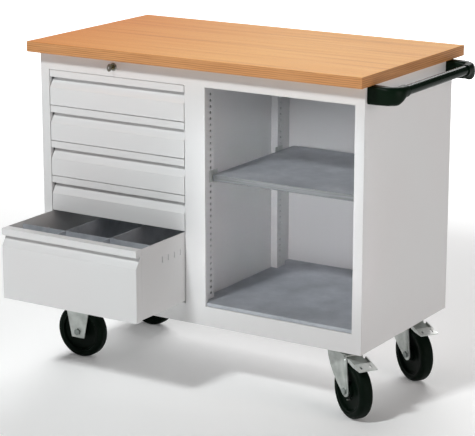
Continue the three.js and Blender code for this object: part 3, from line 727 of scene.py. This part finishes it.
def bracket_section(turn, half_width, half_height, squareness):
    """A point of the arm's rounded section. A squareness of 2 is an ellipse, and more is squarer."""
    side, rise = math.cos(turn), math.sin(turn)
    power = 2.0 / squareness
    across = math.copysign(abs(side) ** power, side) * half_width
    up = math.copysign(abs(rise) ** power, rise) * half_height
    return across, up


def arm_path(start_x, path_y, socket_end, inward):
    """Points from the side sheet to the socket's mouth, each with the direction that the arm goes in."""
    corner_x = tube_axis_x - arm_bend
    path = []
    for step in range(straight_steps + 1):
        path.append((start_x + (corner_x - start_x) * step / straight_steps, path_y, 1.0, 0.0))
    for step in range(1, bend_steps + 1):
        turn = math.pi / 2.0 * step / bend_steps
        x = corner_x + arm_bend * math.sin(turn)
        y = path_y + inward * arm_bend * (1.0 - math.cos(turn))
        path.append((x, y, math.cos(turn), inward * math.sin(turn)))
    bend_end = path[-1][1]
    for step in range(1, socket_steps + 1):
        path.append((tube_axis_x, bend_end + (socket_end - bend_end) * step / socket_steps, 0.0, inward))
    return path


def gone_through(distance, length):
    """The share of a length that a distance has gone through, from 0 to 1."""
    return min(max(distance / length, 0.0), 1.0)


def moulded_bracket(name, node, finish):
    """An arm that leaves the side sheet as a tall rounded block and bends into a round socket."""
    low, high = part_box(node)
    is_front = low.y < (tube_low.y + tube_high.y) / 2.0
    inward, outer_end, socket_end = (1.0, low.y, high.y) if is_front else (-1.0, high.y, low.y)
    half_width = high.x - tube_axis_x
    taper_start = tube_axis_x - arm_bend - low.x + taper_after_straight
    path = arm_path(low.x, outer_end + inward * half_width, socket_end, inward)
    shape = bmesh.new()
    rings = []
    length_so_far = 0.0
    for (x, y, toward_x, toward_y), before in zip(path, path[:1] + path):
        length_so_far += math.dist((x, y), before[:2])
        taper = gone_through(length_so_far - taper_start, taper_length)
        taper = taper * taper * (3.0 - 2.0 * taper)
        bottom = low.z + (tube_axis_z - half_width - low.z) * taper
        middle, half_height = (high.z + bottom) / 2.0, (high.z - bottom) / 2.0
        rounding = gone_through(length_so_far - rounding_start, rounding_length)
        squareness = block_squareness + (socket_squareness - block_squareness) * rounding
        ring = []
        for step in range(arm_sides):
            turn = 2.0 * math.pi * step / arm_sides
            across, up = bracket_section(turn, half_width, half_height, squareness)
            ring.append(shape.verts.new((x - toward_y * across, y + toward_x * across, middle + up)))
        rings.append(ring)
    socket_middle = Vector((tube_axis_x, socket_end, tube_axis_z))
    bore_share = (tube_radius + socket_play) / half_width
    bore = [socket_middle + (corner.co - socket_middle) * bore_share for corner in rings[-1]]
    for depth in (0.0, socket_depth):
        inset = Vector((0.0, inward * depth, 0.0))
        rings.append([shape.verts.new(place - inset) for place in bore])
    join_rings(shape, rings)
    shape.faces.new(rings[0])
    shape.faces.new(rings[-1])
    bmesh.ops.recalc_face_normals(shape, faces=shape.faces[:])
    for face in shape.faces:
        face.smooth = True
    piece = add_piece(name, shape, [finish])
    piece.data.set_sharp_from_angle(angle=moulded_edge)
    stand_for(piece, node)


moulded_green = dark_green_finish(
    "moulded_green_plastic", rough_low=0.34, rough_high=0.44, grain_depth=0.000015, gloss=0.07
)
for row in ("front", "rear"):
    moulded_bracket(f"handle_arm_{row}", f"handle_bracket_{row}", moulded_green)

tube_wall = 0.002
tube_half = (tube_high.y - tube_low.y) / 2.0
tube_profile = [
    (tube_radius - tube_wall, -tube_half),
    (tube_radius, -tube_half),
    (tube_radius, tube_half),
    (tube_radius - tube_wall, tube_half),
]
tube_centre = Vector((tube_axis_x, (tube_low.y + tube_high.y) / 2.0, tube_axis_z))
tube_finish = dark_green_finish(
    "green_tube_paint", rough_low=0.20, rough_high=0.28, grain_depth=0.000004, gloss=0.06
)
tube = turned("handle_grip_tube", tube_profile, tube_centre, (0.0, 1.0, 0.0), tube_finish)
stand_for(tube, "handle_tube")

# Castors
# Two fixed castors on the left and two swivel castors with brakes on the right. Forks, plates, pedals and
# axles are zinc plated; the axle bolts are painted darker as shade, a pedal's upward tread faces carry a
# painted highlight and its recess a painted shade. The wheels are black rubber on a black moulded core.

rubber_black = (0.0022, 0.0062, 0.0034)
rubber_scuffed = (0.0042, 0.0088, 0.0058)
core_black = (0.0024, 0.0062, 0.0036)
core_scuffed = (0.0044, 0.0090, 0.0060)
rubber_gloss = 0.05
# Darker plating for the axle bolts: painted shade standing in for the dark ring round them.
axle_shade_grey = (0.17, 0.20, 0.185)
axle_shade_bright = (0.33, 0.36, 0.345)
# Painted highlight for the pedal's tread, painted shade for its recess.
painted_highlight_grey = (0.66, 0.69, 0.67)
painted_highlight_bright = (0.88, 0.90, 0.88)
painted_shade_dark = (0.045, 0.062, 0.055)
painted_shade_grey = (0.12, 0.145, 0.13)
painted_shade_start = 0.026
painted_highlight_start = 0.051
tread_lean = 0.6
fork_round = 0.0012
axle_round = 0.0005
plate_round = 0.0008
straight_up = Vector((0.0, 0.0, 1.0))
castors = [(kind, row, f"{kind}_castor_{row}") for kind in ("fixed", "swivel") for row in ("front", "rear")]


def rubber_finish(name, plain, scuffed, rough_low, rough_high):
    """Black rubber or plastic, a little paler where it is scuffed."""
    finish, shader = new_finish(name)
    scuffs = mottle(finish, (45.0, 45.0, 45.0), detail=4.0, roughness=0.6)
    skin = mottle(finish, (800.0, 800.0, 800.0), detail=2.0)
    feed(shader.inputs["Base Color"], shades(finish, scuffs, [(0.4, plain), (0.72, scuffed)]))
    feed(shader.inputs["Roughness"], spread(finish, scuffs, rough_low, rough_high))
    shader.inputs["Specular IOR Level"].default_value = rubber_gloss
    relief(finish, shader, skin, depth=0.00003)
    return finish


# Axle bolts painted darker: a painted shade.
axle_painted_shade = plating_finish("axle_bolt_painted_shade", axle_shade_grey, axle_shade_bright)
# Painted highlight for the pedal's upward tread faces.
painted_tread_highlight = plating_finish("painted_tread_highlight", painted_highlight_grey, painted_highlight_bright)
# Painted shade for the pedal's upward recess faces.
painted_recess_shade = plating_finish("painted_recess_shade", painted_shade_dark, painted_shade_grey)
rubber = rubber_finish("black_tyre_rubber", rubber_black, rubber_scuffed, rough_low=0.42, rough_high=0.58)
core_plastic = rubber_finish("black_core_plastic", core_black, core_scuffed, rough_low=0.38, rough_high=0.5)
tread_radius = 0.080
tread_half = 0.020
shoulder_round = 0.0125
shoulder_steps = 8
rim_radius = 0.0620
hub_radius = 0.020
bore_radius = 0.0064


def half_turn_profile(points):
    """A profile that is the same on both sides of the wheel, closed on itself."""
    return points + [(radius, -along) for radius, along in reversed(points)]


tyre_side = [
    (rim_radius, tread_half - 0.0016),
    (rim_radius + 0.0012, tread_half - 0.0006),
    (rim_radius + 0.003, tread_half),
]
for step in range(shoulder_steps + 1):
    turn = math.pi / 2.0 * (1.0 - step / shoulder_steps)
    radius = tread_radius - shoulder_round + shoulder_round * math.cos(turn)
    tyre_side.append((radius, tread_half - shoulder_round + shoulder_round * math.sin(turn)))
tyre_profile = half_turn_profile(tyre_side)
core_side = [
    (bore_radius, tread_half - 0.0006),
    (hub_radius - 0.002, tread_half - 0.0006),
    (hub_radius, tread_half - 0.0022),
    (hub_radius + 0.001, 0.0105),
    (hub_radius + 0.004, 0.0085),
    (rim_radius - 0.012, 0.0080),
    (rim_radius - 0.006, 0.0105),
    (rim_radius - 0.0042, tread_half - 0.0024),
    (rim_radius - 0.0030, tread_half - 0.0014),
    (rim_radius - 0.0004, tread_half - 0.0014),
]
core_profile = half_turn_profile(core_side)

for kind, row, castor in castors:
    wheel_centre, axle_axis = joint_named(f"{kind}_wheel_{row}_roll")
    tyre = turned(f"{castor}_rubber", tyre_profile, wheel_centre, axle_axis, rubber, sides=96)
    stand_for(tyre, f"{castor}_tyre")
    core = turned(f"{castor}_rim_and_hub", core_profile, wheel_centre, axle_axis, core_plastic, sides=72)
    stand_for(core, f"{castor}_wheel_core")
    dress(f"{castor}_fork", "plate", zinc_plating, f"{castor}_pressed_fork", fold=fork_round, axes=None)
    # The axle bolt takes the darker plating, a painted shade.
    dress(f"{castor}_axle", "plate", axle_painted_shade, f"{castor}_axle_bolt", fold=axle_round, axes=None)
    if kind == "swivel":
        dress(f"{castor}_plate", "plate", zinc_plating, f"{castor}_top_plate", fold=plate_round, axes=None)
        pedal = dress(f"{castor}_brake_pedal", "plate", zinc_plating, f"{castor}_foot_pedal", **as_pressed)
        pedal.data.materials.append(painted_tread_highlight)
        pedal.data.materials.append(painted_recess_shade)
        pivot, pivot_axis = joint_named(f"brake_{row}_press")
        heading = pivot_axis.cross(straight_up)
        # Upward pedal faces near the pivot get the painted shade, and those further out the painted
        # highlight.
        for face in pedal.data.polygons:
            reach = (face.center - pivot).dot(heading)
            if face.normal.z > tread_lean and reach > painted_shade_start:
                face.material_index = 1 if reach > painted_highlight_start else 2

# Castor ribs, rivets and nipples
# A raised rib is pressed down the outside of each leg of a swivel fork, from the pedal's pivot rivet to the
# axle. Each wheel has a small bright grease nipple in its hub.

rib_rise = 0.0032
rib_sink = 0.0006
rib_half_width = 0.0080
rib_top_lean = -0.0055
rib_top = 0.084
rib_end_steps = 12
rib_slope = [(0.99, 0.25), (0.86, 0.66), (0.62, 0.93), (0.34, 1.0)]
pivot_lean = -0.0060
pivot_height = 0.095
rivet_profile = [(0.0, 0.0022), (0.0022, 0.0019), (0.0040, 0.0010), (0.0048, -0.0004), (0.0, -0.0004)]
nipple_profile = [(0.0, 0.0100), (0.0014, 0.0096), (0.0022, 0.0080), (0.0024, -0.0004), (0.0, -0.0004)]
nipple_reach = 0.0285
turned_down_lean = -0.14
web_half = 0.0083


def pressed_rib(name, foot, head, out, finish):
    """A long raised strip with round ends between two points, standing up from the sheet along out."""
    shape = bmesh.new()
    along = (head - foot).normalized()
    across = out.cross(along)
    outline = []
    for middle, start in ((foot, math.pi), (head, 0.0)):
        for step in range(rib_end_steps + 1):
            turn = start + math.pi * step / rib_end_steps
            outline.append((middle, rib_half_width * (across * math.cos(turn) + along * math.sin(turn))))
    rings = []
    for share, level in [(1.0, -rib_sink)] + [(share, rise * rib_rise) for share, rise in rib_slope]:
        places = [middle + spoke * share + out * level for middle, spoke in outline]
        rings.append([shape.verts.new(place) for place in places])
    join_rings(shape, rings)
    shape.faces.new(rings[0])
    shape.faces.new(rings[-1])
    bmesh.ops.recalc_face_normals(shape, faces=shape.faces[:])
    return add_piece(name, shape, [finish])


def fix_to(piece, node):
    """A piece without a solid of its own moves with another piece's body."""
    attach(piece, frame["nodes"][node]["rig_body"])


for kind, row, castor in castors:
    wheel_centre, axle_axis = joint_named(f"{kind}_wheel_{row}_roll")
    heading = axle_axis.cross(straight_up)
    is_turned_down = castor == "swivel_castor_front"
    nipple_way = turned_down_lean * heading - straight_up if is_turned_down else straight_up - heading
    nipple_foot = wheel_centre - axle_axis * web_half + nipple_reach * nipple_way.normalized()
    nipple = turned(f"{castor}_nipple", nipple_profile, nipple_foot, -axle_axis, zinc_plating, sides=20)
    fix_to(nipple, f"{castor}_wheel_core")
    if kind == "fixed":
        continue
    fork_corners = frame["nodes"][f"{castor}_fork"].data.vertices
    leg_reach = max(abs((corner.co - wheel_centre).dot(axle_axis)) for corner in fork_corners)
    for side, out in (("near", -axle_axis), ("far", axle_axis)):
        face_middle = wheel_centre + out * leg_reach
        head = face_middle + heading * rib_top_lean + straight_up * rib_top
        rib = pressed_rib(f"{castor}_{side}_rib", face_middle, head, out, zinc_plating)
        fix_to(rib, f"{castor}_fork")
        pivot = face_middle + heading * pivot_lean + straight_up * pivot_height
        rivet = turned(f"{castor}_{side}_pivot_rivet", rivet_profile, pivot, out, zinc_plating, sides=28)
        fix_to(rivet, f"{castor}_fork")

# Castor bolts
# Four hexagon bolts with washers hold each castor's top plate to the cabinet's base from below. They are zinc
# plated steel, and on a fixed castor the plate is one with the fork.

bolt_from_plate_end = 0.017
bolt_from_plate_side = 0.016
top_plate_thickness = 0.004
washer_sides = 28


def bolt_heads_tree():
    """A hexagon head on a washer, hanging under every point of a mesh."""
    sockets = {
        "Places": "Geometry",
        "Head Radius": "Float",
        "Head Height": "Float",
        "Washer Radius": "Float",
        "Washer Height": "Float",
        "Finish": "Material",
    }
    tree, given = new_geometry_tree("bolt_heads", sockets)
    washer_level = reckon(tree, "MULTIPLY", given["Washer Height"], -0.5)
    half_head = reckon(tree, "MULTIPLY", given["Head Height"], 0.5)
    drop = reckon(tree, "ADD", given["Washer Height"], half_head)
    head_level = reckon(tree, "MULTIPLY", drop, -1.0)
    bolt = tree.nodes.new("GeometryNodeJoinGeometry")
    for part, sides, level in (("Head", 6, head_level), ("Washer", washer_sides, washer_level)):
        inputs = {"Vertices": sides, "Radius": given[f"{part} Radius"], "Depth": given[f"{part} Height"]}
        disc = add_node(tree, "GeometryNodeMeshCylinder", inputs).outputs["Mesh"]
        inputs = {"Geometry": disc, "Translation": upright(tree, level)}
        feed(bolt.inputs[0], add_node(tree, "GeometryNodeTransform", inputs).outputs[0])
    hand_out(tree, set_on(tree, given["Places"], bolt.outputs[0]), given["Finish"])
    return tree


bolt_places = bmesh.new()
for kind, row, castor in castors:
    low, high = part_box(f"{castor}_fork" if kind == "fixed" else f"{castor}_plate")
    for x in (low.x + bolt_from_plate_end, high.x - bolt_from_plate_end):
        for y in (low.y + bolt_from_plate_side, high.y - bolt_from_plate_side):
            bolt_places.verts.new((x, y, high.z - top_plate_thickness))
bolts = add_piece("castor_plate_bolts", bolt_places, [zinc_plating])
bolt_sizes = {
    "Head Radius": 0.0075,
    "Head Height": 0.0038,
    "Washer Radius": 0.0090,
    "Washer Height": 0.0016,
    "Finish": zinc_plating,
}
run_tree(bolts, bolt_heads_tree(), bolt_sizes)
fix_to(bolts, "base_panel")

# Studio
# A white floor that glows more the further it is from the bench, and four softboxes: the key light in front
# and high up, one with a grid that shines into the bay, one on the right and one for the floor behind. The
# camera stands where the photograph was taken from.

plain_white = (1.0, 1.0, 1.0)
cool_white = (0.97, 1.0, 1.0)
bluish_white = (0.97, 0.965, 1.0)
warm_white = (1.0, 0.93, 0.90)
floor_white = (0.96, 0.96, 0.96)
floor_whiter = (0.98, 0.98, 0.98)
floor_roughness = 0.9
floor_reach = 30.0
glow_near_bench = 0.09
glow_far_off = 0.46
near_reach = 1.5
far_reach = 5.0
floor_finish, floor_shader = new_finish("pale_studio_floor")
floor_tone = mottle(floor_finish, (0.8, 0.8, 0.8), detail=2.0)
floor_colour = shades(floor_finish, floor_tone, [(0.3, floor_white), (0.7, floor_whiter)])
feed(floor_shader.inputs["Base Color"], floor_colour)
floor_shader.inputs["Roughness"].default_value = floor_roughness
floor_shader.inputs["Emission Color"].default_value = (*plain_white, 1.0)
floor_place = on_piece(floor_finish, (1.0, 1.0, 1.0))
measure = add_node(floor_finish.node_tree, "ShaderNodeVectorMath", {0: floor_place}, operation="LENGTH")
from_bench = measure.outputs["Value"]
floor_glow = spread(floor_finish, from_bench, glow_near_bench, glow_far_off, near_reach, far_reach)
feed(floor_shader.inputs["Emission Strength"], floor_glow)
floor_shape = bmesh.new()
corners = [(-1, -1), (1, -1), (1, 1), (-1, 1)]
floor_shape.faces.new([floor_shape.verts.new((x * floor_reach, y * floor_reach, 0.0)) for x, y in corners])
floor = add_piece("studio_floor", floor_shape, [floor_finish])

surround_strength = 0.08
world = bpy.data.worlds.new("white_surround")
bpy.context.scene.world = world
world.use_nodes = True
world.node_tree.nodes["Background"].inputs["Color"].default_value = (*plain_white, 1.0)
world.node_tree.nodes["Background"].inputs["Strength"].default_value = surround_strength
bench_middle = (cad_low + cad_high) / 2.0
floor_behind = Vector((-2.5, 5.0, 0.0))
bay_mouth = Vector((0.215, -0.15, 0.555))


def hang_light(name, target, azimuth, elevation, distance, size, spread_angle, tint, strength):
    """A square softbox aimed at a target; a narrow spread is that of a grid in front of it."""
    lamp = bpy.data.lights.new(name, "AREA")
    lamp.size = size
    lamp.color = tint
    lamp.spread = math.radians(spread_angle)
    lamp.energy = strength * (math.pi * distance) ** 2
    light = bpy.data.objects.new(name, lamp)
    across, rise = math.radians(azimuth), math.radians(elevation)
    out = Vector((math.sin(across) * math.cos(rise), -math.cos(across) * math.cos(rise), math.sin(rise)))
    light.location = target + distance * out
    light.rotation_euler = (-out).to_track_quat("-Z", "Y").to_euler()
    bpy.context.scene.collection.objects.link(light)


hang_light(
    "key_softbox", bench_middle, azimuth=-7.0, elevation=41.0, distance=4.5,
    size=0.45, spread_angle=180.0, tint=cool_white, strength=0.55,
)
hang_light(
    "bay_softbox", bay_mouth, azimuth=24.0, elevation=9.0, distance=2.4,
    size=0.48, spread_angle=5.0, tint=bluish_white, strength=0.0052,
)
hang_light(
    "side_softbox", bench_middle, azimuth=82.0, elevation=16.0, distance=4.0,
    size=2.0, spread_angle=180.0, tint=warm_white, strength=0.21,
)
hang_light(
    "floor_softbox", floor_behind, azimuth=180.0, elevation=75.0, distance=5.0,
    size=5.0, spread_angle=180.0, tint=plain_white, strength=2.05,
)

photo_width = 475.0
sensor_millimetres = 36.0
view_reach = 100.0
camera_place = (2.7435, -4.3655, 1.822)
lens_pixels = 1884.0
view_azimuth = math.radians(32.15)
view_pitch = math.radians(14.67)
camera_data = bpy.data.cameras.new("photo_camera")
camera_data.sensor_width = sensor_millimetres
camera_data.lens = lens_pixels * sensor_millimetres / photo_width
camera_data.clip_end = view_reach
camera = bpy.data.objects.new("photo_camera", camera_data)
camera.location = camera_place
camera.rotation_euler = (math.pi / 2.0 - view_pitch, 0.0, view_azimuth)
bpy.context.scene.collection.objects.link(camera)
bpy.context.scene.camera = camera
bpy.context.scene.view_settings.view_transform = "Standard"
